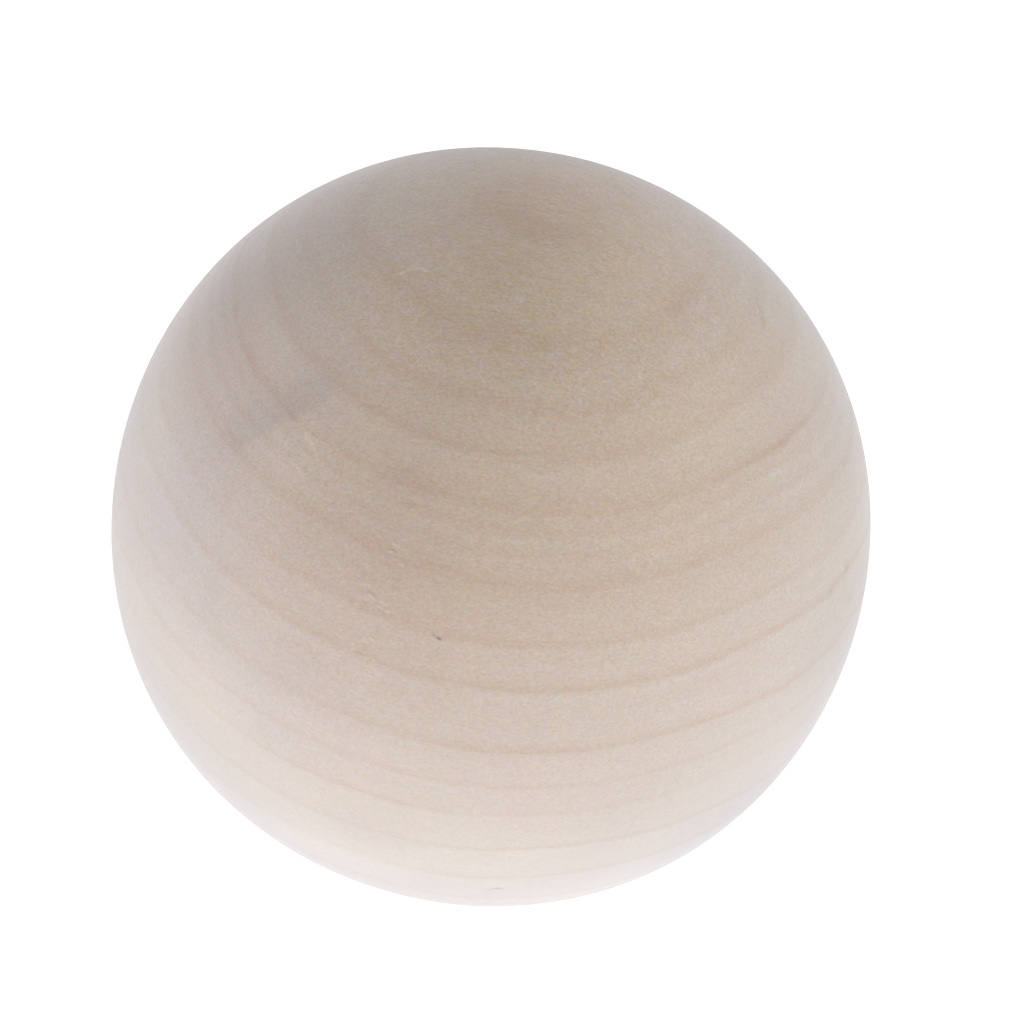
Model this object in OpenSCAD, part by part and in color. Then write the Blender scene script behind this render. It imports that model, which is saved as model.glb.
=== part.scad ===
// Wooden ball: one solid sphere turned from a single blank of pale
// close-grained hardwood, sanded all over and left bare.
//
// Frame: origin at the centre of the ball, +Z up towards the bark side of
// the blank, +X roughly along the grain, -Y is the front.
// All sizes are in millimetres.

/* [Ball] */
// Diameter of the ball
ball_d = 60; // [30:1:100]

/* [Smoothness] */
// Sides round the equator of the preview mesh
ball_sides = 180; // [48:4:240]

/* [Hidden] */

// Bare pale hardwood
wood_tint = [0.80, 0.72, 0.66];

// The ball has no hole, flat or seam: the lathe leaves one unbroken sphere.
module ball() {
    color(wood_tint)
        sphere(d = ball_d, $fn = ball_sides);
}

ball();
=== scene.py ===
# %% [markdown]
# # A turned wooden ball
#
# The object is one solid ball of pale, close-grained hardwood. It was cut as a
# blank from a log, turned on a lathe, sanded smooth and left bare. There is no
# varnish, no hole and no flat, so all of its looks come from the wood: growth
# rings that cross it as soft curved lines, fine pores, and a few small flaws.
#
# We work in four steps: the ball's shape, the small nicks in its surface, the
# wood, and last the light. The wood is built as a solid block of patterns that
# the ball is cut out of, so it is right on every side. The CAD model gives the
# size and the place of everything.

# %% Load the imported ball
import math
from collections import namedtuple

import bmesh
import bpy
from mathutils import Matrix, Vector, noise


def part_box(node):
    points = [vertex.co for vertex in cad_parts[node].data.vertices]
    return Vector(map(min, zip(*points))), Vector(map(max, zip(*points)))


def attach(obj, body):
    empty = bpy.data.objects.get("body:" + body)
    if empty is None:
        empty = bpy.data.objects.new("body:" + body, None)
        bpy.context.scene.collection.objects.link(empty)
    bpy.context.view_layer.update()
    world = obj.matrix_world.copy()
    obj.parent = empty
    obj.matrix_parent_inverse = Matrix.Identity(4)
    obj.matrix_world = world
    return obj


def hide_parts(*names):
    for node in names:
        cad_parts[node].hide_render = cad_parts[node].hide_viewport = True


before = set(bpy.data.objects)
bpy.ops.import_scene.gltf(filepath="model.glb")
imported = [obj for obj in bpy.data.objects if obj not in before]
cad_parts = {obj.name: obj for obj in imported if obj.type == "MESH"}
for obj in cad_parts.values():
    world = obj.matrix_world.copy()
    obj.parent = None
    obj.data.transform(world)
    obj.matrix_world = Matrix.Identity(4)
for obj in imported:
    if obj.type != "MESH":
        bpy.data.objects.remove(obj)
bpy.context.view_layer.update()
low_corner, high_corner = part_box("ball")
CENTRE = (low_corner + high_corner) / 2
RADIUS = (high_corner - low_corner).z / 2
MM = 0.001

# %% [markdown]
# ## Where the camera stands
#
# A long lens from fairly far away keeps a ball round: close up, a ball's
# outline swells and less of it can be seen. Here the camera is fourteen radii
# away and looks down by thirty degrees. It aims a little to the right of the
# ball and a little above it, so the ball sits left of the frame's middle and
# below it.

# %% Camera
FRAME_WIDTH_PX = 1024
OUTLINE_RADIUS_PX = 381.9
OUTLINE_OFFSET_PX = Vector((-20.9, -14.8))
CAMERA_DISTANCE = 14 * RADIUS
CAMERA_ELEVATION = math.radians(30)
SENSOR_WIDTH_MM = 36

to_camera = Vector((0, -math.cos(CAMERA_ELEVATION), math.sin(CAMERA_ELEVATION)))
camera_right = Vector((1, 0, 0))
camera_up = to_camera.cross(camera_right)
outline_slope = RADIUS / math.sqrt(CAMERA_DISTANCE**2 - RADIUS**2)
focal_px = OUTLINE_RADIUS_PX / outline_slope
aim_offset = -OUTLINE_OFFSET_PX * CAMERA_DISTANCE / focal_px

camera_data = bpy.data.cameras.new("camera")
camera_data.sensor_width = SENSOR_WIDTH_MM
camera_data.lens = focal_px / FRAME_WIDTH_PX * SENSOR_WIDTH_MM
camera = bpy.data.objects.new("camera", camera_data)
camera.location = CENTRE + to_camera * CAMERA_DISTANCE
aim_point = CENTRE + camera_right * aim_offset.x + camera_up * aim_offset.y
camera.rotation_euler = (aim_point - camera.location).to_track_quat("-Z", "Y").to_euler()
bpy.context.scene.collection.objects.link(camera)
bpy.context.scene.camera = camera
print(f"camera: {camera_data.lens:.0f} mm lens at {CAMERA_DISTANCE:.2f} m")

# %% [markdown]
# ## How the ball sits in the log
#
# Wood has three directions: along the grain, round the trunk, and out towards
# the bark. The blank was cut a little off true, so the grain falls a few degrees
# to the right, and the bark side is almost straight up. The pith, which is the
# middle of the tree, ran well below the ball: that is why the rings are such
# gentle curves. Everything in the wood is placed in these three directions, in
# millimetres from the ball's centre.

# %% Grain, trunk and bark directions
GRAIN_TURN = math.radians(-8.2)
GRAIN_FALL = math.radians(9.0)
BARK_LEAN = math.radians(1.2)
PITH_DEPTH = 109.5

grain = Vector((1, 0, 0))
grain.rotate(Matrix.Rotation(GRAIN_FALL, 3, "Y"))
grain.rotate(Matrix.Rotation(GRAIN_TURN, 3, "Z"))
round_trunk = Vector((0, 0, 1)).cross(grain).normalized()
bark = grain.cross(round_trunk)
bark_lean = Matrix.Rotation(BARK_LEAN, 3, grain)
round_trunk.rotate(bark_lean)
bark.rotate(bark_lean)
to_wood = Matrix((grain, round_trunk, bark))
print("grain", [round(c, 3) for c in grain], "bark", [round(c, 3) for c in bark])

# %% [markdown]
# ## The turned shape
#
# A ball could be spun from half a circle, as a lathe does, but a spin leaves two
# poles with long thin faces that show in the shading. An icosphere has faces of
# one size all over and no pole, so we start from one.
#
# A real turned ball is then never quite true. It is turned in three holds, each a
# quarter turn from the last, and between the holds a little more wood comes off.
# Sanding leaves it faintly uneven too. Both are a fraction of a millimetre, and
# both only ever go inwards, so that the ball never outgrows its stated size.

# %% Ball blank
ROUND_STEPS = 7
# the lathe's axis in each hold, square to the other two
HOLDS = (Vector((0.866, 0.25, 0.433)), Vector((-0.5, 0.433, 0.75)), Vector((0, -0.866, 0.5)))
TURNING_DEPTH = 0.35 * MM
SANDING_DEPTH = 0.03 * MM
SANDING_WIDTH = 9 * MM
SANDING_CHANGE = 0.5

ball_mesh = bmesh.new()
bmesh.ops.create_icosphere(ball_mesh, subdivisions=ROUND_STEPS, radius=RADIUS)
print(f"blank: {len(ball_mesh.faces)} faces")


def turned_away(out):
    """How much turning took off in this direction: nothing at a hold, most between all three."""
    fullness = sum(out.dot(hold) ** 4 for hold in HOLDS)
    return TURNING_DEPTH * (1 - fullness)


def sanded_away(out):
    """How much sanding took off in this direction from the centre, in metres."""
    unevenness = noise.noise(out * RADIUS / SANDING_WIDTH)
    return SANDING_DEPTH * (1 + SANDING_CHANGE * unevenness)


# %% [markdown]
# ## Nicks and torn fibres
#
# The cutter lifted and tore the wood in a few places, where the grain rises out
# of the surface. Such a nick is a short shallow stroke, at most about three
# millimetres long, with dry fibres in it that are paler than the wood. On a few
# lips and rims, and on the rim of the bark fleck, the paleness is a painted
# highlight. A few flaws are dark instead: thin slits, a pinhead pit and a fleck of
# bark. The dark in the slits, the catches and the pit is painted shade in their
# hollows. Each stroke is listed by its two ends, in the wood's own directions, and
# by its bend, width and depth. The pale amount is partly stain and partly painted
# highlight, the dark amount is painted shade, and the brown amount stains it brown.

# %% Strokes
# two ends, bend, width, depth, then how pale (dry fibres and painted highlight), dark (painted shade) and
# brown it is
STROKES = {
    "upper dash 1": ((-10.0, -10.1, 26.5), (-9.3, -9.9, 26.8), 0.0, 0.40, 0.015, (3.4, 0, 0)),
    "upper dash 2": ((-9.2, -9.7, 26.9), (-8.4, -9.7, 27.1), 0.05, 0.40, 0.020, (2.6, 0, 0)),
    "upper dash 3": ((-8.1, -9.7, 27.2), (-7.6, -9.9, 27.3), 0.0, 0.36, 0.015, (2.7, 0, 0)),
    "upper catch": ((-8.3, -9.95, 27.05), (-7.9, -10.0, 27.1), 0.0, 0.24, 0.025, (0, 0.15, 0.8)),
    "upper dot": ((-7.2, -10.2, 27.3), (-7.0, -10.2, 27.3), 0.0, 0.24, 0.010, (0.6, 0, 0)),
    "left crescent": ((-13.8, -20.3, 17.3), (-12.4, -22.1, 16.2), 0.10, 0.50, 0.020, (1.1, 0, 0)),
    "left crescent core": ((-13.4, -20.8, 17.0), (-12.7, -21.7, 16.4), 0.10, 0.25, 0.010, (0.5, 0, 0)),
    "left catch": ((-13.3, -20.4, 17.6), (-12.9, -20.7, 17.4), 0.10, 0.22, 0.025, (0, 0.2, 0.6)),
    "left catch lip": ((-13.3, -20.5, 17.4), (-12.8, -20.9, 17.3), 0.10, 0.22, 0.010, (1.2, 0, 0)),
    "left hook": ((-15.3, -20.9, 15.2), (-14.3, -21.5, 15.3), 0.15, 0.40, 0.010, (0.8, 0, 0)),
    "left hook end": ((-14.5, -21.3, 15.3), (-13.2, -22.5, 14.9), 0.15, 0.45, 0.015, (1.1, 0, 0)),
    "torn fibre 1": ((-6.0, -26.2, 13.4), (-4.9, -26.5, 13.2), 0.0, 0.20, 0.010, (1.4, 0, 0)),
    "torn fibre 2": ((-5.9, -26.4, 13.0), (-5.0, -26.6, 12.9), 0.0, 0.18, 0.020, (0, 0.05, 0.7)),
    "torn fibre 3": ((-6.0, -26.5, 12.8), (-5.1, -26.7, 12.7), 0.0, 0.20, 0.010, (1.5, 0, 0)),
    "torn fibre 4": ((-5.8, -26.6, 12.5), (-5.2, -26.8, 12.4), 0.0, 0.18, 0.015, (0, 0.05, 0.5)),
    "torn fibre 5": ((-5.5, -26.4, 13.3), (-4.6, -26.6, 13.1), 0.0, 0.16, 0.010, (1.2, 0, 0)),
    "upper slit": ((-6.8, -27.5, 9.8), (-5.9, -27.8, 9.5), 0.0, 0.20, 0.025, (0, 0.10, 0.9)),
    "upper slit lip": ((-6.6, -27.6, 9.3), (-5.8, -27.9, 9.1), 0.0, 0.22, 0.010, (0.9, 0, 0)),
    "lower chip": ((-7.0, -27.7, 9.1), (-6.5, -27.8, 9.0), 0.0, 0.22, 0.010, (1.1, 0, 0)),
    "right chip": ((-5.8, -27.9, 9.2), (-5.1, -28.1, 9.1), 0.0, 0.22, 0.010, (1.0, 0, 0)),
    "zigzag 1": ((-5.9, -27.9, 9.2), (-5.5, -28.1, 8.9), 0.0, 0.18, 0.020, (0, 0.10, 0.8)),
    "zigzag 2": ((-5.7, -28.1, 8.9), (-5.3, -28.2, 8.7), 0.0, 0.20, 0.010, (1.3, 0, 0)),
    "zigzag 3": ((-5.5, -28.2, 8.6), (-5.0, -28.3, 8.5), 0.0, 0.18, 0.020, (0, 0.10, 0.8)),
    "middle slit": ((-6.0, -28.6, 6.6), (-5.5, -28.8, 6.4), 0.0, 0.20, 0.015, (0, 0.10, 0.5)),
    "middle slit lip": ((-6.4, -28.6, 6.9), (-5.5, -28.8, 6.1), 0.0, 0.30, 0.010, (0.7, 0, 0)),
    "lower slit": ((-6.7, -28.8, 5.1), (-6.0, -29.0, 4.9), 0.0, 0.20, 0.020, (0, 0.10, 0.6)),
    "pit": ((-0.95, -28.95, 7.82), (-0.72, -29.0, 7.75), 0.0, 0.34, 0.080, (0, 1.3, 0)),
    "pit tail": ((-1.27, -28.9, 7.92), (-1.15, -28.9, 7.9), 0.0, 0.24, 0.040, (0, 0.8, 0)),
    "bark fleck head": ((6.4, -23.5, -17.4), (7.0, -23.5, -17.3), 0.0, 0.46, 0.060, (0, 0, 1.1)),
    "bark fleck tail": ((5.3, -23.5, -17.8), (6.8, -23.5, -17.4), 0.0, 0.22, 0.030, (0, 0, 0.9)),
    # the pale rim by the bark fleck is a painted highlight
    "bark fleck highlight": ((6.7, -23.7, -17.0), (7.3, -23.6, -16.9), 0.0, 0.24, 0.015, (1.0, 0, 0)),
    "right curl": ((17.2, -0.1, 24.6), (17.8, -2.4, 24.0), 0.10, 0.85, 0.020, (0, 0.05, 0.9)),
    "knot arc": ((27.3, -8.9, 8.3), (28.3, -7.9, 6.9), 0.30, 0.40, 0.020, (0.7, 0, 0)),
}
print(f"{len(STROKES)} strokes")

# %% [markdown]
# ## What one stroke takes away
#
# A nick is deepest in its middle and runs out to nothing at its ends and sides,
# and its edge is a little ragged. Each stroke works this out for itself, so the
# mesh only has to ask every stroke how strong it is at a place.

# %% One stroke
def in_wood(point):
    """A listed point, pushed out or in to the ball's surface, still in wood directions."""
    return Vector(point).normalized() * RADIUS / MM


class Stroke:
    """One nick: knows how deep it is and how strongly its stain, painted highlight and painted shade show
    at any place.
    """

    RAGGED_EDGE = 0.3
    RAGS_PER_MM = 4
    FARTHEST_MM = 1

    def __init__(self, start, end, bend, width, depth, stain_and_light):
        start, end = in_wood(start), in_wood(end)
        self.middle = (start + end) / 2
        self.half_length = (end - start).length / 2 + width / 2
        self.along = (end - start).normalized()
        self.across = self.middle.normalized().cross(self.along)
        self.bend = bend
        self.half_width = width / 2
        self.depth = depth
        self.stain_and_light = Vector(stain_and_light)

    def is_near(self, place, margin):
        """Whether this place is within a margin of the stroke, on its side of the ball."""
        offset = place - self.middle
        run = abs(offset.dot(self.along)) - self.half_length
        side = abs(offset.dot(self.across)) - self.half_width - abs(self.bend)
        return max(run, side) < margin and offset.length < self.half_length + self.FARTHEST_MM

    def strength_at(self, place):
        """1 in the middle of the stroke and 0 outside it; place is in millimetres."""
        offset = place - self.middle
        run = offset.dot(self.along) / self.half_length
        if abs(run) > 1:
            return 0.0
        taper = 1 - run * run
        ragged = self.RAGGED_EDGE * self.half_width * noise.noise(place * self.RAGS_PER_MM)
        side = offset.dot(self.across) - self.bend * taper + ragged
        across_taper = max(0.0, 1 - (side / self.half_width) ** 2)
        return taper * across_taper


strokes = [Stroke(*values) for values in STROKES.values()]
longest = max(stroke.half_length for stroke in strokes) * 2
print(f"the longest stroke is {longest:.1f} mm long")

# %% [markdown]
# ## Finer faces where the strokes are
#
# The ball's faces are half a millimetre wide, which is too coarse for a nick.
# Making them all finer would cost millions of faces, so only the faces near a
# stroke are divided, three times. Then every point is put back on the round
# surface, and let down by what turning, sanding and the strokes took away.

# %% Divide and carve
FINE_MARGINS = (0.5, 0.3, 0.15)


def near_a_stroke(face, margin):
    """Whether the middle of this face is within a margin of any stroke."""
    place = to_wood @ face.calc_center_median() / MM
    return any(stroke.is_near(place, margin) for stroke in strokes)


for margin in FINE_MARGINS:
    fine_faces = [face for face in ball_mesh.faces if near_a_stroke(face, margin)]
    edges = {edge for face in fine_faces for edge in face.edges}
    bmesh.ops.subdivide_edges(ball_mesh, edges=list(edges), cuts=1, use_grid_fill=True)
    bmesh.ops.triangulate(ball_mesh, faces=ball_mesh.faces)
print(f"with finer faces: {len(ball_mesh.faces)} faces")

# pale is partly painted highlight, dark is painted shade in the hollows
stain_and_light_layer = ball_mesh.verts.layers.float_vector.new("stroke_stain_and_light")
for vertex in ball_mesh.verts:
    out = vertex.co.normalized()
    place = to_wood @ (out * RADIUS) / MM
    strengths = [stroke.strength_at(place) for stroke in strokes]
    carved = max(s * stroke.depth for s, stroke in zip(strengths, strokes)) * MM
    stain_and_light = Vector((0, 0, 0))
    for strength, stroke in zip(strengths, strokes):
        stain_and_light += stroke.stain_and_light * strength
    vertex[stain_and_light_layer] = stain_and_light
    taken = turned_away(out) + sanded_away(out) + carved
    vertex.co = CENTRE + out * (RADIUS - taken)

# %% [markdown]
# ## Slow changes of tone, and painted light
#
# Over a centimetre or two the ball gets darker, bluer or pinker. Part of that is
# the wood's own uneven tone, and part is painted light: the pale patches at the
# lower left, the bottom and the top rim paint in light where the ball is lit most,
# and the lilac patches at the left end, lower left and bottom paint the paler,
# bluer look of that brightly lit side. The dark patches darken broad places, the
# upper left and the right end most. Such slow changes need no fine pattern: one
# value at every point of the mesh is enough, and it renders quickly. Each is an
# egg-shaped patch, given by its place along the grain, round the trunk and in
# depth towards the bark, by its half sizes in the same directions, and by its
# strength. Below 0 a patch does the opposite: it pales the wood, or takes lilac or
# pink away.

# %% Slow patches
# dark patches: below 0 at the lower left, bottom and top rim they are painted light
# place, half sizes, strength
DARK_AND_PAINTED_LIGHT_PATCHES = {
    "upper left": ((-20.5, -3.0, 21.5), (13.0, 16.0, 10.0), 1.45),
    "far upper left": ((-23.5, -6.0, 16.5), (9.0, 11.0, 9.0), 1.45),
    "upper left, inner": ((-15.0, -5.0, 25.0), (12.0, 13.0, 9.0), 1.1),
    "above the middle": ((-2.5, -14.0, 26.8), (10.0, 11.0, 8.0), 0.75),
    "above, to the left": ((-5.0, -21.0, 22.0), (6.0, 7.0, 6.0), 0.4),
    "by the streak": ((-12.5, -18.5, 21.0), (7.0, 7.0, 6.0), 0.5),
    "left of middle": ((-6.0, -25.5, 17.0), (9.0, 9.0, 8.0), 0.75),
    "left of middle, below": ((-12.5, -24.5, 14.5), (5.0, 5.0, 5.0), 0.45),
    "middle": ((-4.0, -27.5, 12.5), (8.0, 8.0, 6.5), 0.25),
    "right of it": ((2.0, -26.5, 16.0), (8.0, 8.0, 8.0), 0.2),
    "left, above": ((-20.5, -16.0, 14.5), (9.0, 9.0, 8.0), 0.7),
    "left end": ((-27.0, -14.0, -2.5), (7.0, 8.0, 7.0), -0.6),
    "left end, upper": ((-28.5, -5.0, 6.5), (8.0, 8.0, 9.0), 0.75),
    "lower left": ((-13.0, -26.0, -4.0), (12.0, 12.0, 10.0), -1.3),
    "left, below": ((-21.0, -21.5, -1.0), (11.0, 11.0, 9.0), -1.1),
    "below the left": ((-15.2, -25.5, 6.0), (4.5, 4.5, 4.5), -0.45),
    "low on the left": ((-10.5, -27.5, -2.5), (8.0, 6.0, 4.5), 0.75),
    "middle, below": ((-4.0, -29.0, -2.0), (13.0, 12.0, 9.0), -0.9),
    "bottom": ((5.0, -27.0, -9.0), (12.0, 10.0, 9.0), -1.1),
    "bottom, upper part": ((9.0, -28.0, -1.0), (9.0, 7.0, 6.0), -0.35),
    "bottom, left": ((-6.0, -24.5, -12.5), (10.0, 8.0, 6.0), -1.25),
    "top rim": ((0.0, 4.0, 29.3), (11.0, 9.0, 8.0), -1.05),
    "far top rim": ((0.5, 18.0, 24.0), (12.5, 10.0, 9.0), -1.5),
    "top rim, left": ((-14.0, 4.5, 26.0), (6.0, 6.0, 5.0), 0.4),
    "top, front": ((-2.5, -5.5, 29.3), (9.0, 6.0, 5.0), 0.4),
    "top, right": ((10.0, 1.5, 28.0), (6.0, 7.0, 5.0), -0.5),
    "above, right": ((9.0, -6.0, 27.5), (8.0, 9.0, 6.0), -0.6),
    "right, above the middle": ((7.0, -13.5, 26.0), (5.0, 6.0, 5.0), -0.35),
    "upper right rim": ((18.5, 6.5, 23.0), (9.5, 11.0, 9.0), 1.0),
    "upper right": ((15.0, -12.0, 23.0), (8.0, 9.0, 6.0), -0.85),
    "right of middle": ((11.0, -19.0, 21.5), (11.0, 10.0, 9.0), -0.5),
    "right end": ((28.5, -7.5, 3.5), (10.0, 13.0, 11.0), 1.25),
    "right end, upper": ((26.0, -1.0, 15.0), (9.0, 12.0, 8.0), 0.8),
    "lower right": ((22.5, -13.0, -12.0), (13.0, 13.0, 11.0), 1.5),
}
# partly painted light: the lilac at the left end, lower left and bottom paints the paler, bluer look of
# the brightly lit side
LILAC_AND_COOL_LIGHT_PATCHES = {
    "left end": ((-22.0, -18.5, 9.5), (13.0, 13.0, 16.0), 2.2),
    "upper left": ((-15.5, -16.0, 21.0), (9.0, 10.0, 7.0), 1.3),
    "lower left": ((-13.0, -26.0, 0.0), (14.0, 11.0, 9.0), 1.4),
    "bottom": ((2.5, -29.0, -1.0), (9.0, 6.0, 5.0), 0.6),
    "left of middle": ((-1.0, -27.0, 15.0), (9.0, 8.0, 10.0), -0.8),
    "top": ((4.0, -2.0, 29.5), (14.0, 15.0, 10.0), -1.6),
    "above the middle": ((-2.0, -12.0, 28.0), (11.0, 12.0, 9.0), -1.4),
    "upper right rim": ((18.5, 0.0, 23.5), (8.0, 11.0, 8.0), -1.9),
    "top, right": ((5.0, 7.0, 28.8), (8.0, 8.0, 6.0), -0.8),
    "upper left rim": ((-20.5, -6.0, 21.0), (8.0, 8.0, 7.0), -0.4),
    "middle, above": ((0.0, -23.0, 20.5), (6.0, 5.0, 4.5), -0.45),
    "right end": ((28.5, -6.0, 8.0), (10.0, 13.0, 13.0), -1.3),
}
PINK_PATCHES = {
    "far upper left": ((-22.5, -8.0, 17.0), (10.0, 12.0, 9.0), 1.5),
    "upper left rim": ((-18.0, -2.0, 23.5), (9.0, 10.0, 8.0), 1.0),
    "left end": ((-27.5, -12.0, 3.0), (8.0, 8.0, 9.0), 0.5),
    "left of middle": ((-7.0, -26.5, 13.0), (14.0, 12.0, 14.0), 1.0),
    "middle": ((3.0, -28.0, 9.0), (11.0, 9.0, 9.0), 0.4),
    "below the middle": ((7.0, -28.5, 2.0), (9.0, 8.0, 6.0), 0.5),
    "lower left": ((-8.0, -28.0, 1.0), (8.0, 7.0, 6.0), 0.4),
    "bottom": ((5.0, -26.0, -10.0), (12.0, 8.0, 7.0), -0.5),
    "right of middle": ((14.0, -15.0, 23.0), (10.0, 12.0, 9.0), -0.45),
    "top, front": ((-2.0, -7.0, 29.0), (7.0, 6.0, 5.0), 0.3),
    "top": ((2.0, -8.0, 28.5), (13.0, 14.0, 8.0), -0.35),
    "right": ((24.0, -12.0, 12.0), (8.0, 9.0, 9.0), -0.4),
    "right end": ((29.0, -6.5, 4.5), (6.0, 7.0, 7.0), 0.4),
    "left": ((-21.0, -18.0, 9.0), (12.0, 12.0, 12.0), 0.5),
    "top rim": ((5.0, 7.5, 28.5), (8.0, 8.0, 6.0), 0.7),
}
PATCH_CORE, PATCH_EDGE = 0.1, 1.0


def patch_strength(place, middle, half_sizes, strength):
    """The patch's full strength in its core, falling by a smooth step to 0 at its edge."""
    offset = [(here - there) / size for here, there, size in zip(place, middle, half_sizes)]
    inside = (PATCH_EDGE - Vector(offset).length) / (PATCH_EDGE - PATCH_CORE)
    inside = min(1.0, max(0.0, inside))
    return strength * inside * inside * (3 - 2 * inside)


slow_tone_and_light_layer = ball_mesh.verts.layers.float_vector.new("slow_tones_and_painted_light")
for vertex in ball_mesh.verts:
    x, y, z = to_wood @ (vertex.co - CENTRE) / MM
    place = (x, y, math.hypot(y, z + PITH_DEPTH) - PITH_DEPTH)
    vertex[slow_tone_and_light_layer] = [
        sum(patch_strength(place, *values) for values in patches.values())
        for patches in (DARK_AND_PAINTED_LIGHT_PATCHES, LILAC_AND_COOL_LIGHT_PATCHES, PINK_PATCHES)
    ]
print(f"slow patches: {len(DARK_AND_PAINTED_LIGHT_PATCHES)} dark, {len(LILAC_AND_COOL_LIGHT_PATCHES)} lilac, {len(PINK_PATCHES)} pink")

# %% [markdown]
# ## The finished mesh
#
# Smooth shading hides the small flat faces.

# %% Turned ball
for face in ball_mesh.faces:
    face.smooth = True
bmesh.ops.recalc_face_normals(ball_mesh, faces=ball_mesh.faces)

ball_data = bpy.data.meshes.new("turned_ball")
ball_mesh.to_mesh(ball_data)
ball_mesh.free()
ball = bpy.data.objects.new("turned_ball", ball_data)
bpy.context.scene.collection.objects.link(ball)
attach(ball, "root")
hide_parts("ball")
print(f"turned ball: {len(ball_data.polygons)} smooth faces")

# %% [markdown]
# ## A few words for building materials
#
# A material is a graph of small nodes. These helpers let us write that graph as
# ordinary sums: each one adds a node, plugs in what it is given, and returns the
# node's output, ready for the next one.

# %% Node helpers
wood = bpy.data.materials.new("bare_pale_hardwood_with_painted_light")
wood.use_nodes = True
graph = wood.node_tree
surface = graph.nodes["Principled BSDF"]


def plug(socket, value):
    """Feed a socket from another node's output, or set it to a plain value."""
    if isinstance(value, bpy.types.NodeSocket):
        graph.links.new(value, socket)
    else:
        socket.default_value = value


def node(kind, values, **settings):
    """Add a node of this kind, with these settings, and feed these values to its inputs."""
    made = graph.nodes.new(kind)
    for name, setting in settings.items():
        setattr(made, name, setting)
    for name, value in values.items():
        plug(made.inputs[name], value)
    return made


def maths(operation, *values):
    return node("ShaderNodeMath", dict(enumerate(values)), operation=operation).outputs[0]


def sum_of(*values):
    total = values[0]
    for value in values[1:]:
        total = maths("ADD", total, value)
    return total


def product(*values):
    total = values[0]
    for value in values[1:]:
        total = maths("MULTIPLY", total, value)
    return total


def minus(first, second):
    return maths("SUBTRACT", first, second)


def rise(value, start, end, low=0.0, high=1.0):
    """A smooth step from low to high while value goes from start to end."""
    return node(
        "ShaderNodeMapRange",
        {"Value": value, "From Min": start, "From Max": end, "To Min": low, "To Max": high},
        interpolation_type="SMOOTHSTEP",
    ).outputs["Result"]


def vector_maths(operation, *values):
    return node("ShaderNodeVectorMath", dict(enumerate(values)), operation=operation)


# %% [markdown]
# ## Noise for the grain
#
# Wood is never even, and nearly all of its fine pattern here is noise that is
# stretched one way. A kind of noise is three things: how many spots it has in a
# millimetre along the grain, round the trunk and towards the bark, how many
# layers of finer spots are added, and how strong those are. The texture is built
# in three dimensions, so the pattern runs on through the ball and has no seam.

# %% Noise helpers
NoiseKind = namedtuple("NoiseKind", "per_mm detail roughness")
NOISE_MIDDLE = 0.5


def noise_texture(coordinates, kind):
    stretched = vector_maths("MULTIPLY", coordinates, kind.per_mm).outputs[0]
    values = {"Vector": stretched, "Scale": 1.0, "Detail": kind.detail, "Roughness": kind.roughness}
    return node("ShaderNodeTexNoise", values, noise_dimensions="3D").outputs


def clouds(coordinates, kind):
    """Soft noise of this kind around 0, from about -0.5 to 0.5."""
    return sum_of(noise_texture(coordinates, kind)["Fac"], -NOISE_MIDDLE)


def colour_clouds(coordinates, kind):
    """Three such noises at once, one for red, one for green and one for blue."""
    colours = noise_texture(coordinates, kind)["Color"]
    return vector_maths("SUBTRACT", colours, (NOISE_MIDDLE,) * 3).outputs[0]


# %% [markdown]
# ## Wood coordinates
#
# Object coordinates are turned into the wood's own directions and into
# millimetres, with the pith as their middle line. X then runs along the grain,
# and the distance from the X axis is the distance from the pith. How deep a
# place lies is counted from the ball's middle, and goes up towards the bark.

# %% Wood coordinates in the material
object_place = node("ShaderNodeTexCoord", {}).outputs["Object"]
wood_place = node(
    "ShaderNodeMapping",
    {
        "Vector": object_place,
        "Scale": (1 / MM, 1 / MM, 1 / MM),
        "Rotation": to_wood.to_euler(),
        "Location": (0, 0, PITH_DEPTH),
    },
    vector_type="POINT",
).outputs["Vector"]
wood_axes = node("ShaderNodeSeparateXYZ", {"Vector": wood_place}).outputs
along_grain = wood_axes["X"]
across_trunk = vector_maths("MULTIPLY", wood_place, (0, 1, 1)).outputs[0]
from_pith = vector_maths("LENGTH", across_trunk).outputs["Value"]
plain_depth = sum_of(from_pith, -PITH_DEPTH)
print(f"the pith ran {PITH_DEPTH} mm below the ball's centre")

# %% [markdown]
# ## Growth rings
#
# Each year the tree adds a ring. In this wood a year starts with one thin tan
# line, crisp on the pith side and soft on the bark side, and the wood then
# slowly pales until the next line. No two years are alike, so the list gives
# each line its place, in millimetres from the middle of the ball, its strength
# in the left, middle and right part of the ball, and how far its dark core and
# its soft side reach. The last two numbers say how pale the wood gets: halfway
# to the next line, and late in the year.
#
# Rings are never true circles either. They wander a little, and a short list
# says where they also dip, or lift, which is a dip below 0.

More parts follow.
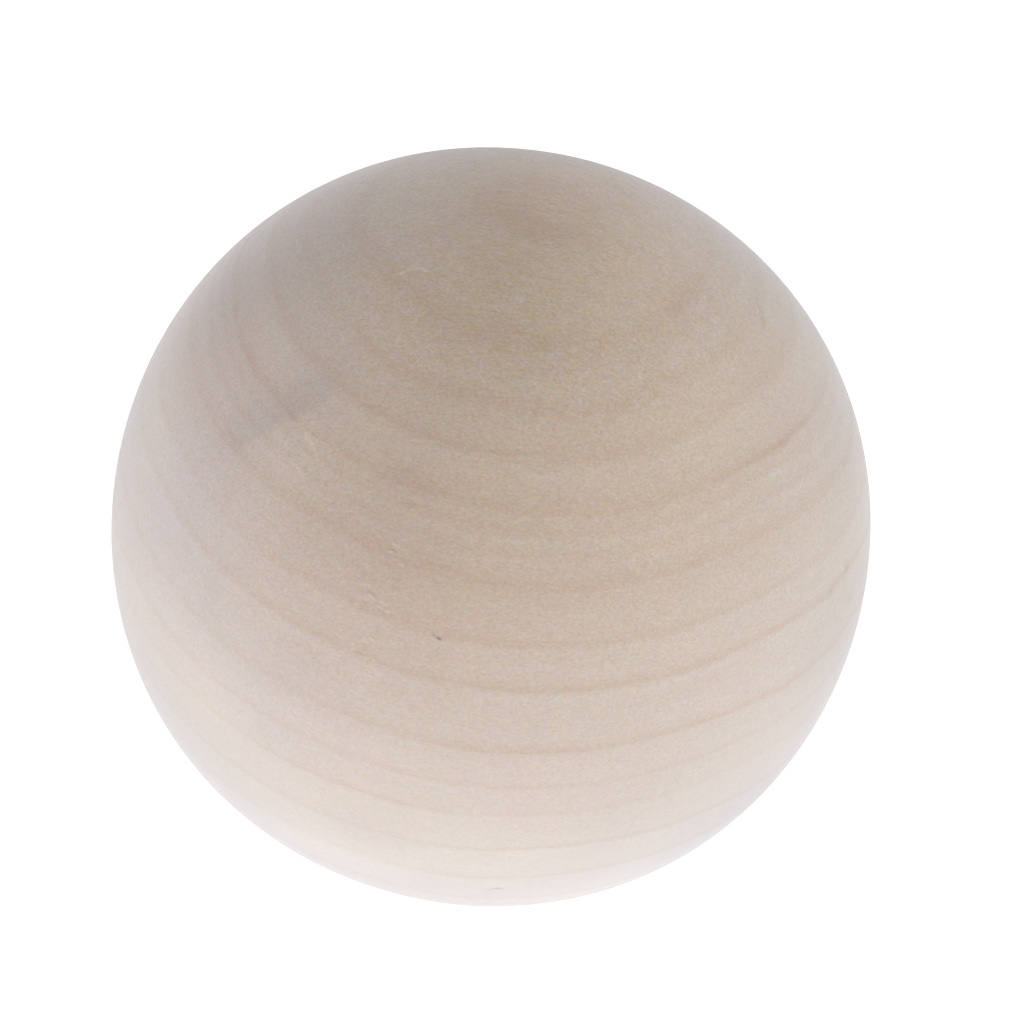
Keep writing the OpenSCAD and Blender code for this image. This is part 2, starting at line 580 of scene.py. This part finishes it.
# %% Ring lines
RingLine = namedtuple("RingLine", "place left middle right core reach halfway late")
RING_LINES = [
    RingLine(-34.0, 0.5, 0.45, 0.55, 0.6, 1.6, 0.1, 0.2),
    RingLine(-30.2, 0.6, 0.45, 0.55, 0.5, 1.4, 0.1, 0.3),
    RingLine(-26.5, 0.4, 0.55, 0.75, 0.5, 1.6, 0.2, 0.2),
    RingLine(-23.4, 0.5, 0.35, 0.55, 0.5, 1.2, 0.3, 0.4),
    RingLine(-19.8, 0.5, 0.45, 0.55, 0.5, 1.2, 0.5, 0.6),
    RingLine(-17.4, 0.25, 0.3, 0.3, 0.4, 0.8, 0.6, 0.5),
    RingLine(-12.6, 0.3, 0.3, 0.95, 0.6, 1.5, 0.0, 0.3),
    RingLine(-8.3, 0.6, 0.7, 1.2, 0.6, 1.1, 0.0, 0.15),
    RingLine(-3.8, 0.6, 1.5, 0.6, 0.6, 1.8, 0.0, 0.15),
    RingLine(-0.5, 0.6, 0.85, 0.75, 0.6, 0.9, 0.3, 0.3),
    RingLine(3.1, 0.5, 0.55, 1.3, 0.6, 1.1, 0.4, 0.8),
    RingLine(8.1, 0.5, 0.85, 1.25, 0.6, 0.9, 0.45, 0.6),
    RingLine(11.3, 0.3, 0.5, 0.7, 0.6, 0.8, 0.18, 0.0),
    RingLine(14.9, 0.95, 0.7, 0.95, 1.2, 1.8, 0.0, 0.5),
    RingLine(16.9, 0.75, 0.3, 0.45, 0.4, 0.5, 0.3, 0.55),
    RingLine(18.1, 0.65, 0.45, 0.45, 0.4, 0.5, 0.1, 0.2),
    RingLine(19.1, 1.8, 0.8, 1.0, 0.6, 1.1, 0.28, 0.75),
    RingLine(21.8, 0.85, 1.0, 0.55, 0.6, 0.8, 0.16, 0.4),
    RingLine(24.0, 0.25, 1.0, 0.4, 0.5, 0.6, 0.6, 0.05),
    RingLine(26.3, 1.1, 0.9, 0.6, 0.6, 0.9, 0.4, 0.25),
    RingLine(29.3, 1.0, 1.15, 1.6, 1.2, 3.0, 0.1, 0.2),
]
FIRST_LINE = RING_LINES[0].place
END_OF_LAST_YEAR = 34.0
RING_SPAN = END_OF_LAST_YEAR - FIRST_LINE
YEARS = len(RING_LINES)

WANDER_NOISE, WANDER = NoiseKind((0.06, 0.11, 0.11), 2, 0.5), 1.1
# this rise is over before the lowest wood of the right end
ALL_DEPTHS = (-30, -25)
# where it starts and is full along the grain, then in depth, and how far it dips
RING_BENDS = {
    "oldest wood, lift to the right": ((0, 18), (2, -3), -0.85),
    "youngest wood, lift to the right": ((5, 15), (20, 23), -0.3),
    "young wood, dip to the left": ((0, -9), (17.5, 19.5), 0.25),
    "young wood, dip to the right": ((17, 24), (10, 15), 0.33),
    "right end, dip": ((20, 28), ALL_DEPTHS, 0.8),
}

wander = product(clouds(wood_place, WANDER_NOISE), WANDER)
bends = [
    product(rise(along_grain, *along), rise(plain_depth, *depth), amount)
    for along, depth, amount in RING_BENDS.values()
]
ring_depth = sum_of(plain_depth, wander, *bends)
ring_place = node(
    "ShaderNodeCombineXYZ", {"X": along_grain, "Y": wood_axes["Y"], "Z": ring_depth}
).outputs["Vector"]
print(f"{len(RING_LINES)} ring lines over {RING_SPAN:.0f} mm, {len(RING_BENDS)} bends")

# %% [markdown]
# ## Which year is it here?
#
# A colour ramp can do the counting. Its stops sit at the ring lines and hold the
# years 0, 1, 2 and so on, so it turns depth into a year with a fraction. The
# whole part of that number is the year, and it picks one page in each of four
# stepped ramps. A stepped ramp is a small book: each page keeps up to three plain
# numbers, as its red, green and blue.

# %% Year book
HALF_A_PAGE = 0.5

ring_share = product(minus(ring_depth, FIRST_LINE), 1 / RING_SPAN)


def ramp_of(position, stops, interpolation):
    """A colour ramp with a stop for each (place, colour) pair."""
    ramp = node("ShaderNodeValToRGB", {"Fac": position})
    ramp.color_ramp.interpolation = interpolation
    elements = ramp.color_ramp.elements
    elements.remove(elements[1])
    first_place, first_colour = stops[0]
    elements[0].position = first_place
    elements[0].color = (*first_colour, 1)
    for place, colour in stops[1:]:
        elements.new(place).color = (*colour, 1)
    return node("ShaderNodeSeparateColor", {"Color": ramp.outputs["Color"]}).outputs


def book(pages):
    """Three numbers for each year, as outputs called Red, Green and Blue."""
    stops = [(index / YEARS, page) for index, page in enumerate(pages)]
    return ramp_of(page_number, stops, "CONSTANT")


line_shares = [(line.place - FIRST_LINE) / RING_SPAN for line in RING_LINES] + [1]
year_stops = [(share, (year / YEARS,) * 3) for year, share in enumerate(line_shares)]
year_count = product(ramp_of(ring_share, year_stops, "LINEAR")["Red"], YEARS)
page_number = product(sum_of(maths("FLOOR", year_count), HALF_A_PAGE), 1 / YEARS)

places = book([(share, next_share, 0) for share, next_share in zip(line_shares, line_shares[1:])])
strengths = book([(line.left, line.middle, line.right) for line in RING_LINES])
reaches = book([(line.core, line.reach, 0) for line in RING_LINES])
paleness = book([(line.halfway, line.late, 0) for line in RING_LINES])

since_line = product(minus(ring_share, places["Red"]), RING_SPAN)
until_line = product(minus(places["Green"], ring_share), RING_SPAN)
print(f"{YEARS} years in the book")

# %% [markdown]
# ## From years to a tone
#
# A tone is one number: 0 is the wood's middle colour, 1 is a strong dark line
# and below 0 the wood is paler. A line rises within a quarter of a millimetre,
# keeps a dark core and fades over its reach. Its strength changes along the
# grain, because a tree doesn't grow evenly. Two noises break it up further: a
# broad one for weak stretches, and a fine one for the separate fibres. The wood
# pales just before the next line, and in some years halfway there too.

# %% Ring tone
LINE_RISE = 0.25
CORE_SHARE = 0.65
LEFT_UNTIL, MIDDLE_AT, RIGHT_FROM = -19, -5, 6
BREAK_NOISE, BREAKS = NoiseKind((0.22, 0.5, 0.5), 2, 0.6), 1.4
FRAY_NOISE, FRAYS = NoiseKind((1.3, 2.8, 2.8), 2, 0.8), 1.6
LATE_START, LATE_FULL = 1.4, 0.4
HALFWAY_START_SHARE = 0.5
HALFWAY_DELAY = 0.5

left_part = rise(along_grain, LEFT_UNTIL, MIDDLE_AT, 1, 0)
right_part = rise(along_grain, MIDDLE_AT, RIGHT_FROM)
middle_part = minus(minus(1.0, left_part), right_part)
line_strength = sum_of(
    product(strengths["Red"], left_part),
    product(strengths["Green"], middle_part),
    product(strengths["Blue"], right_part),
)
line_breaks = product(clouds(wood_place, BREAK_NOISE), BREAKS)
line_frays = product(clouds(wood_place, FRAY_NOISE), FRAYS)
line_core = rise(since_line, LINE_RISE, sum_of(reaches["Red"], LINE_RISE), CORE_SHARE, 0)
line_tail = rise(since_line, LINE_RISE, sum_of(reaches["Green"], LINE_RISE), 1 - CORE_SHARE, 0)
line_tone = product(
    sum_of(line_core, line_tail),
    rise(since_line, 0, LINE_RISE),
    line_strength,
    sum_of(line_breaks, line_frays, 1.0),
)

late_pale = product(rise(until_line, LATE_START, LATE_FULL), paleness["Green"])
halfway_start = product(reaches["Green"], HALFWAY_START_SHARE)
halfway_full = sum_of(reaches["Green"], HALFWAY_DELAY)
halfway_pale = product(
    rise(since_line, halfway_start, halfway_full),
    rise(until_line, LATE_FULL, LATE_START),
    paleness["Red"],
)
pale_tone = product(sum_of(late_pale, halfway_pale), rise(until_line, 0, LINE_RISE))
ring_tone = minus(line_tone, pale_tone)
print(f"a ring line rises in {LINE_RISE} mm, and the late wood pales over {LATE_START} mm")

# %% [markdown]
# ## Pores, fibres and rays
#
# Between the ring lines the wood is made of fibres that run along the grain,
# with pores like hair-thin straws among them. Cut lengthwise they show as short
# dashes, and cut across, at the two ends of the grain, as dots. Rays are thin
# ribbons that run from the pith to the bark. They show where the surface follows
# them, as short streaks across the rings. Within one year the wood also has thin
# layers, which show as fine streaks beside the ring lines. Each of these is a
# noise stretched in its own direction. Fine specks and a soft mottle fill the
# rest.
#
# The young wood near the bark is coarser than the old wood, most of all in the
# last few years, where the surface also runs along the fibres: there they show
# as fine tan streaks.

# %% Fine grain
MOTTLE_NOISE, MOTTLE = NoiseKind((1.5, 2.0, 2.0), 1, 0.6), 0.5
SPECK_NOISE, SPECKS = NoiseKind((3.4, 5.6, 5.6), 1, 0.8), 9.2
RAY_NOISE, RAYS = NoiseKind((4.5, 4.5, 0.5), 1, 0.6), 1.2
LAYER_NOISE, LAYERS = NoiseKind((0.6, 1.0, 4.2), 1, 0.7), 2.0
FIBRE_NOISE, FIBRES = NoiseKind((0.22, 1.5, 1.5), 2, 0.6), 1.1
PORE_NOISE, PORES = NoiseKind((0.8, 4.0, 4.0), 1, 0.6), 1.6
TAN_FIBRE_NOISE, TAN_FIBRES = NoiseKind((0.8, 2.8, 2.8), 2, 0.8), 12.0
COARSE_IN_OLD_WOOD, COARSE_IN_YOUNG_WOOD = 0.45, 1.45
OLD_WOOD, YOUNG_WOOD = -18, 28
TOP_START, TOP_FULL, TOP_COARSER = 21, 27, 1.3

coarseness = product(
    rise(ring_depth, OLD_WOOD, YOUNG_WOOD, COARSE_IN_OLD_WOOD, COARSE_IN_YOUNG_WOOD),
    rise(ring_depth, TOP_START, TOP_FULL, 1, TOP_COARSER),
)
even_grain = sum_of(
    product(clouds(wood_place, MOTTLE_NOISE), MOTTLE),
    product(clouds(wood_place, SPECK_NOISE), SPECKS),
    product(clouds(wood_place, RAY_NOISE), RAYS),
)
layers = product(clouds(ring_place, LAYER_NOISE), LAYERS)
grain_tone = product(sum_of(even_grain, layers), coarseness)
fibres = product(clouds(wood_place, FIBRE_NOISE), FIBRES)
pores = product(clouds(wood_place, PORE_NOISE), PORES)
pore_tone = product(sum_of(fibres, pores), coarseness)
near_the_top = rise(ring_depth, TOP_START, TOP_FULL)
tan_tone = product(clouds(wood_place, TAN_FIBRE_NOISE), near_the_top, TAN_FIBRES)
print(f"fine grain: up to {SPECK_NOISE.per_mm[1]} specks and {PORE_NOISE.per_mm[1]} pores in a millimetre")

# %% [markdown]
# ## Clouds of tone and of hue
#
# Under the grain the tone drifts: wide soft clouds, and smaller ones stretched
# along the fibres. The hue drifts too, in spots a few tenths of a millimetre
# wide. Some are pinker, some greener and some bluer than the rest, which keeps
# plain wood from looking dyed. At the strength used here the spots are probably
# stronger than in real wood: lower values for the hues give a cleaner surface.

# %% Clouds
WIDE_NOISE, WIDE = NoiseKind((0.08, 0.15, 0.15), 2, 0.55), 0.5
SMALL_NOISE, SMALL = NoiseKind((0.35, 0.7, 0.7), 2, 0.6), 1.3
HUE_NOISE = NoiseKind((2.1, 2.7, 2.7), 1, 1.0)
HUES_IN_OLD_WOOD, HUES_IN_YOUNG_WOOD = 0.8, 1.35

small_clouds = clouds(wood_place, SMALL_NOISE)
wide_clouds = clouds(wood_place, WIDE_NOISE)
cloud_tone = sum_of(product(wide_clouds, WIDE), product(small_clouds, SMALL))
hues = colour_clouds(wood_place, HUE_NOISE)
hue_strength = rise(ring_depth, OLD_WOOD, YOUNG_WOOD, HUES_IN_OLD_WOOD, HUES_IN_YOUNG_WOOD)
hue_shift = vector_maths("MULTIPLY", hues, hue_strength).outputs[0]
wide_length, small_length = 1 / WIDE_NOISE.per_mm[0], 1 / SMALL_NOISE.per_mm[0]
print(f"clouds about {wide_length:.0f} and {small_length:.0f} mm long")

# %% [markdown]
# ## Patches along the rings
#
# In some places a ring is brown or reddish for a few millimetres, and the small
# knot at the right end has three brown rims. These patches are small, so they are
# made in the material, where they can be finer than the mesh. They use the wavy
# ring depth, so a patch bends with its ring. In the torn patches the cutter went
# against the grain, and short pale fibres stand up there in rows.

# %% Patches
# place, half sizes, strength
BROWN_PATCHES = {
    "streak's left end": ((-18.8, -18.7, 15.4), (1.2, 1.4, 0.9), 0.6),
    "spot on the streak": ((-14.9, -19.0, 19.2), (0.9, 1.1, 0.4), 0.9),
    "far left of a ring": ((-19.0, -13.9, 19.3), (2.0, 3.2, 0.7), 0.7),
    "blotch by a ring": ((-5.5, -23.9, 19.6), (2.6, 2.0, 1.0), 0.6),
    "rim of the upper nick": ((-9.8, -10.6, 26.8), (2.2, 1.8, 0.6), 0.8),
    "top, front": ((-2.0, -10.5, 28.4), (3.5, 3.5, 1.6), 0.6),
    "top, left side": ((-3.0, -2.5, 29.7), (2.5, 5.0, 0.8), 0.6),
    "top, lower side": ((1.5, -4.0, 29.7), (6.0, 2.5, 0.7), 0.6),
    "top, right side": ((5.0, 5.0, 29.1), (4.0, 6.0, 1.1), 0.8),
    "right of a ring": ((11.7, -6.0, 26.9), (3.0, 4.5, 0.6), 0.9),
    "below the streak": ((-12.8, -20.0, 19.5), (3.8, 4.5, 0.8), -0.8),
    "far right of a ring": ((20.8, -9.0, 19.28), (5.6, 12.0, 0.32), 1.75),
    "knot, left rim": ((27.0, -10.5, 8.2), (0.9, 1.3, 0.6), 1.0),
    "knot, middle": ((27.9, -7.6, 8.4), (0.8, 1.4, 0.8), 1.3),
    "knot, right rim": ((28.7, -7.1, 5.5), (0.7, 1.1, 1.0), 1.1),
    "pale line, upper": ((21.0, -12.0, 18.1), (3.5, 5.0, 0.35), -1.1),
    "pale line, lower": ((22.0, -12.0, 16.7), (3.0, 5.5, 0.35), -0.9),
}
RED_PATCHES = {
    "middle of a ring": ((-7.5, -26.2, 15.3), (1.8, 1.6, 0.7), 1.1),
    "right of it": ((-2.5, -27.1, 15.6), (3.0, 2.0, 0.9), 0.4),
}
TORN_PATCHES = {
    "middle": ((-6.0, -27.0, 13.5), (5.0, 5.0, 5.0), 1.1),
    "left": ((-12.0, -24.0, 15.0), (7.0, 6.0, 7.0), 0.8),
    "below": ((-7.0, -28.5, 7.0), (4.0, 4.0, 5.0), 0.9),
    "bottom": ((-9.0, -27.0, -3.0), (8.0, 7.0, 6.0), 0.6),
    "top": ((-3.0, -10.0, 28.0), (9.0, 7.0, 4.0), 0.6),
}
PATCH_FRAY = 3.0
TORN_NOISE = NoiseKind((0.9, 4.5, 4.5), 1, 0.5)
TORN_FROM, TORN_FULL = 0.04, 0.20


def patch(place, half_sizes, strength):
    """An egg-shaped patch: this strong in its middle and 0 outside it."""
    shrink = tuple(1 / size for size in half_sizes)
    shift = tuple(-at / size for at, size in zip(place, half_sizes))
    egg_place = vector_maths("MULTIPLY_ADD", ring_place, shrink, shift).outputs[0]
    distance = vector_maths("LENGTH", egg_place).outputs["Value"]
    return rise(distance, PATCH_EDGE, PATCH_CORE, 0, strength)


def all_patches(patches):
    """How strong a list of patches is at each place, all taken together."""
    return sum_of(*[patch(*values) for values in patches.values()])


fray = sum_of(product(small_clouds, PATCH_FRAY), 1.0)
brown_tone = product(all_patches(BROWN_PATCHES), fray)
red_tone = product(all_patches(RED_PATCHES), fray)
raised_fibres = rise(clouds(ring_place, TORN_NOISE), TORN_FROM, TORN_FULL)
torn_tone = product(all_patches(TORN_PATCHES), raised_fibres)
print(f"patches: {len(BROWN_PATCHES)} brown, {len(RED_PATCHES)} red, {len(TORN_PATCHES)} torn")

# %% [markdown]
# ## The grey streak
#
# A faint grey streak crosses the left end, where sap once dried. Its lower edge
# is the crisp one. Above that edge lies a darker band, and above the band the
# wood stays a little grey for a long way, like a veil. Three points on the
# surface fix the flat cut that the lower edge lies in. The streak shows only on
# the side of the ball where they lie.

# %% Grey streak
STREAK_EDGE = ((-19.0, -18.8, 13.7), (-15.8, -19.3, 16.7), (-12.1, -18.8, 20.0))
BAND_EDGE, BAND_FADE = (-0.1, 0.35), (0.6, 3.2)
BAND_BEGIN, BAND_END = (-2.0, 1.5), (6.0, 12.0)
BAND_TONE = 1.1
VEIL_EDGE, VEIL_FADE = (-0.8, 1.4), (3.0, 16.0)
VEIL_BEGIN, VEIL_END = (-6.0, 3.0), (8.0, 24.0)
VEIL_TONE = 0.3
STREAK_WOBBLE = 0.5
SIDE_START, SIDE_FULL = 15, 22

edge_start, edge_middle, edge_end = (in_wood(point) for point in STREAK_EDGE)
streak_run = (edge_end - edge_start).normalized()
streak_side = (edge_middle - edge_start).cross(streak_run).normalized()
from_centre = vector_maths("SUBTRACT", wood_place, (0, 0, PITH_DEPTH)).outputs[0]


def measured_along(direction, start):
    """How far a place lies along a direction, from a start, in millimetres."""
    dot = vector_maths("DOT_PRODUCT", from_centre, direction).outputs["Value"]
    return minus(dot, start.dot(direction))


along_streak = measured_along(streak_run, edge_start)
streak_wobble = product(small_clouds, STREAK_WOBBLE)
across_streak = sum_of(measured_along(streak_side, edge_start), streak_wobble)
out_of_middle = measured_along(edge_middle.normalized(), Vector((0, 0, 0)))


def streak_part(edge, fade, begin, end, tone):
    """Grey from one edge until it fades across, and from its begin to its end along."""
    return product(
        rise(across_streak, *edge),
        rise(across_streak, *fade, 1, 0),
        rise(along_streak, *begin),
        rise(along_streak, *end, 1, 0),
        tone,
    )


band = streak_part(BAND_EDGE, BAND_FADE, BAND_BEGIN, BAND_END, BAND_TONE)
veil = streak_part(VEIL_EDGE, VEIL_FADE, VEIL_BEGIN, VEIL_END, VEIL_TONE)
on_its_side = rise(out_of_middle, SIDE_START, SIDE_FULL)
grey_tone = product(sum_of(band, veil), on_its_side)
print(f"grey streak: {(edge_end - edge_start).length:.1f} mm of its edge is fixed by points")

# %% [markdown]
# ## Colour
#
# The base colour is a warm beige that gets darker and yellower towards the bark,
# at the top, and paler and pinker towards the pith, at the bottom. Part of this is
# the wood's own colour and part is painted light: the top is painted darker and
# the lit underside paler. Each pattern then takes some of the light away. Most of
# them take most from the blue and least from the red: that is what makes a line
# tan and not grey. The fibres at the top take almost only blue. Fine specks, dark
# places and the grey streak are grey more than coloured, so they darken all three
# nearly alike; where a dark place goes below 0 it is painted light. Torn fibres
# are paler than the wood: they give light back. On some nicks that paleness is a
# painted highlight, and the dark in the slits, catches and pit is painted shade.

# %% Wood colour
# partly painted light: the pith side, at the bottom, is painted paler where the ball is lit most, and the
# bark side, at the top, darker where it is lit least
PITH_SIDE_AND_LIT_UNDERSIDE_COLOUR = (0.621, 0.515, 0.433)
BARK_SIDE_AND_DIMMER_TOP_COLOUR = (0.600, 0.430, 0.294)
PITH_SIDE_DEPTH, BARK_SIDE_DEPTH = -10, 30
RING_SHADE = (0.034, 0.076, 0.124)
GRAIN_SHADE = (0.033, 0.041, 0.056)
PORE_SHADE = (0.020, 0.050, 0.100)
TAN_SHADE = (0.000, 0.018, 0.120)
CLOUD_SHADE = (0.030, 0.055, 0.070)
HUE_SHADE = (0.22, 0.22, 0.39)
DARK_AND_PAINTED_LIGHT_SHADE = (0.10, 0.10, 0.09)
PINK_SHADE = (-0.01, 0.03, 0.02)
LILAC_AND_COOL_LIGHT_SHADE = (0.01, 0.00, -0.05)
BROWN_SHADE = (0.05, 0.10, 0.15)
RED_SHADE = (0.01, 0.07, 0.07)
GREY_SHADE = (0.10, 0.10, 0.085)
TORN_AND_HIGHLIGHT_PALENESS = (-0.09, -0.12, -0.16)
# painted shade in the hollows of the slits, catches and pit
PAINTED_HOLLOW_SHADE = (0.40, 0.45, 0.38)
BARK_SHADE = (0.10, 0.20, 0.32)
# a mix node has a set of sockets for each kind of value: these are for colours
MIX_SHARE, MIX_FIRST, MIX_SECOND, MIX_RESULT = 0, 6, 7, 2

bark_share = node(
    "ShaderNodeMapRange",
    {"Value": ring_depth, "From Min": PITH_SIDE_DEPTH, "From Max": BARK_SIDE_DEPTH},
).outputs["Result"]
wood_and_painted_light_colour = node(
    "ShaderNodeMix",
    {MIX_SHARE: bark_share, MIX_FIRST: (*PITH_SIDE_AND_LIT_UNDERSIDE_COLOUR, 1), MIX_SECOND: (*BARK_SIDE_AND_DIMMER_TOP_COLOUR, 1)},
    data_type="RGBA",
).outputs[MIX_RESULT]


def shaded(colour, tone, shade):
    """Take this share of red, green and blue away where the tone is 1."""
    taken = tuple(-share for share in shade)
    kept = vector_maths("MULTIPLY_ADD", tone, taken, (1, 1, 1)).outputs[0]
    return vector_maths("MULTIPLY", colour, kept).outputs[0]


def stored(name):
    """The three numbers that were stored with the mesh under this name."""
    vector = node("ShaderNodeAttribute", {}, attribute_name=name).outputs["Vector"]
    return node("ShaderNodeSeparateXYZ", {"Vector": vector}).outputs


# the second number is painted shade in the hollows, the first partly painted highlight
pale_fibres_and_painted_highlights, painted_hollow_shade, barky = stored("stroke_stain_and_light")
# the dark and lilac slow tones are partly painted light
dark_and_painted_light_tone, lilac_and_cool_light_tone, pink_tone = stored("slow_tones_and_painted_light")

COLOUR_LAYERS = [
    (ring_tone, RING_SHADE),
    (grain_tone, GRAIN_SHADE),
    (pore_tone, PORE_SHADE),
    (tan_tone, TAN_SHADE),
    (cloud_tone, CLOUD_SHADE),
    (hue_shift, HUE_SHADE),
    (dark_and_painted_light_tone, DARK_AND_PAINTED_LIGHT_SHADE),
    (lilac_and_cool_light_tone, LILAC_AND_COOL_LIGHT_SHADE),
    (pink_tone, PINK_SHADE),
    (brown_tone, BROWN_SHADE),
    (red_tone, RED_SHADE),
    (torn_tone, TORN_AND_HIGHLIGHT_PALENESS),
    (grey_tone, GREY_SHADE),
    (pale_fibres_and_painted_highlights, TORN_AND_HIGHLIGHT_PALENESS),
    (painted_hollow_shade, PAINTED_HOLLOW_SHADE),
    (barky, BARK_SHADE),
]
for tone, shade in COLOUR_LAYERS:
    wood_and_painted_light_colour = shaded(wood_and_painted_light_colour, tone, shade)
plug(surface.inputs["Base Color"], wood_and_painted_light_colour)
print(f"colour: {len(COLOUR_LAYERS)} layers")

# %% [markdown]
# ## The sanded surface
#
# Bare sanded wood is matt. Light that grazes it catches the ends of countless
# cut fibres, so the ball pales towards its outline, and the blue of the light
# comes back most: that is what sheen and its tint are for. The bump is only a
# few thousandths of a millimetre high: where the grain is dark, it lies lower.

# %% Gloss, sheen and bump
BARE_WOOD_ROUGHNESS = 0.5
ROUGHNESS_CHANGE = 0.03
BARE_WOOD_GLOSS = 0.2
FIBRE_SHEEN = 0.64
FIBRE_SHEEN_SPREAD = 0.8
FIBRE_SHEEN_TINT = (0.82, 0.89, 1.0, 1)
FIBRE_BUMP = 0.003 * MM
BUMP_FULL = 1.0

plug(surface.inputs["Roughness"], sum_of(product(grain_tone, ROUGHNESS_CHANGE), BARE_WOOD_ROUGHNESS))
surface.inputs["Specular IOR Level"].default_value = BARE_WOOD_GLOSS
surface.inputs["Sheen Weight"].default_value = FIBRE_SHEEN
surface.inputs["Sheen Roughness"].default_value = FIBRE_SHEEN_SPREAD
surface.inputs["Sheen Tint"].default_value = FIBRE_SHEEN_TINT
bump = node(
    "ShaderNodeBump",
    {"Height": product(even_grain, -FIBRE_BUMP), "Strength": BUMP_FULL, "Distance": BUMP_FULL},
)
plug(surface.inputs["Normal"], bump.outputs["Normal"])
ball_data.materials.append(wood)
print(f"wood: {len(graph.nodes)} nodes")

# %% [markdown]
# ## A light table
#
# Small pale things are often shot on a table that glows white, so that there is
# as much light from below as from above and the shadow stays faint. The floor
# here is such a table: white paint that gives off a little light of its own. It
# is bright enough to look pure white, and the ball's shadow still falls on it.

# %% Floor
WHITE = (1, 1, 1, 1)
FLOOR_HALF = 3.0
FLOOR_WHITE = (0.9, 0.9, 0.9, 1)
FLOOR_GLOW = 0.66
FLOOR_ROUGHNESS = 0.9
FLOOR_GLOSS = 0.0

floor_mesh = bmesh.new()
bmesh.ops.create_grid(floor_mesh, x_segments=1, y_segments=1, size=FLOOR_HALF)
bmesh.ops.translate(floor_mesh, verts=floor_mesh.verts, vec=CENTRE - Vector((0, 0, RADIUS)))
floor_data = bpy.data.meshes.new("floor")
floor_mesh.to_mesh(floor_data)
floor_mesh.free()
floor = bpy.data.objects.new("floor", floor_data)
bpy.context.scene.collection.objects.link(floor)
floor_paint = bpy.data.materials.new("glowing_white_table")
floor_paint.use_nodes = True
floor_shader = floor_paint.node_tree.nodes["Principled BSDF"]
floor_shader.inputs["Base Color"].default_value = FLOOR_WHITE
floor_shader.inputs["Roughness"].default_value = FLOOR_ROUGHNESS
floor_shader.inputs["Specular IOR Level"].default_value = FLOOR_GLOSS
floor_shader.inputs["Emission Color"].default_value = WHITE
floor_shader.inputs["Emission Strength"].default_value = FLOOR_GLOW
floor_data.materials.append(floor_paint)
print(f"floor: {2 * FLOOR_HALF:.0f} m square, {RADIUS / MM:.0f} mm below the ball's centre")

# %% [markdown]
# ## Strip lights
#
# Two long low strip lights stand just above the table, one on the left and one
# in front on the right. They brighten the lower half of the ball and leave its
# top a little darker, which makes it read as round.

# %% Lamps
STRIP_DISTANCE = 0.9
STRIP_LENGTH = 0.8
STRIP_HEIGHT = 0.12
STRIP_ELEVATION = math.radians(4)
# degrees round from the front, and watts
STRIPS = {"left_strip": (-90, 1.5), "front_right_strip": (60, 1.57)}


def strip_light(name, azimuth_degrees, watts):
    """A long low lamp, at this angle from the front, turned towards the ball."""
    azimuth = math.radians(azimuth_degrees)
    flat = math.cos(STRIP_ELEVATION)
    towards = Vector((math.sin(azimuth) * flat, -math.cos(azimuth) * flat, math.sin(STRIP_ELEVATION)))
    lamp_data = bpy.data.lights.new(name, "AREA")
    lamp_data.shape = "RECTANGLE"
    lamp_data.size = STRIP_LENGTH
    lamp_data.size_y = STRIP_HEIGHT
    lamp_data.energy = watts
    lamp = bpy.data.objects.new(name, lamp_data)
    lamp.location = CENTRE + towards * STRIP_DISTANCE
    lamp.rotation_euler = (-towards).to_track_quat("-Z", "Y").to_euler()
    lamp.visible_camera = False
    bpy.context.scene.collection.objects.link(lamp)


for name, (azimuth_degrees, watts) in STRIPS.items():
    strip_light(name, azimuth_degrees, watts)
print(f"{len(STRIPS)} strip lights, {STRIP_DISTANCE} m away")

# %% [markdown]
# ## The room
#
# The rest of the light comes evenly from all round, as in a white tent. The
# camera and the gloss see that tent as pure white, which is a strength of 1, and
# everything else is lit by a little more than half of that.

# %% White tent
TENT_SEEN = 1.0
TENT_LIGHT = 0.556

world = bpy.data.worlds.new("white_tent")
world.use_nodes = True
tent = world.node_tree
tent_light = tent.nodes["Background"]
tent_light.inputs["Color"].default_value = WHITE
ray = tent.nodes.new("ShaderNodeLightPath")
seen = ray.outputs["Is Camera Ray"]
for kind in ("Is Glossy Ray", "Is Transmission Ray"):
    either = tent.nodes.new("ShaderNodeMath")
    either.operation = "MAXIMUM"
    tent.links.new(seen, either.inputs[0])
    tent.links.new(ray.outputs[kind], either.inputs[1])
    seen = either.outputs[0]
strength = tent.nodes.new("ShaderNodeMapRange")
strength.inputs["To Min"].default_value = TENT_LIGHT
strength.inputs["To Max"].default_value = TENT_SEEN
tent.links.new(seen, strength.inputs["Value"])
tent.links.new(strength.outputs["Result"], tent_light.inputs["Strength"])
bpy.context.scene.world = world
bpy.context.scene.view_settings.view_transform = "Standard"
print(f"white tent: seen at {TENT_SEEN}, lights at {TENT_LIGHT}")
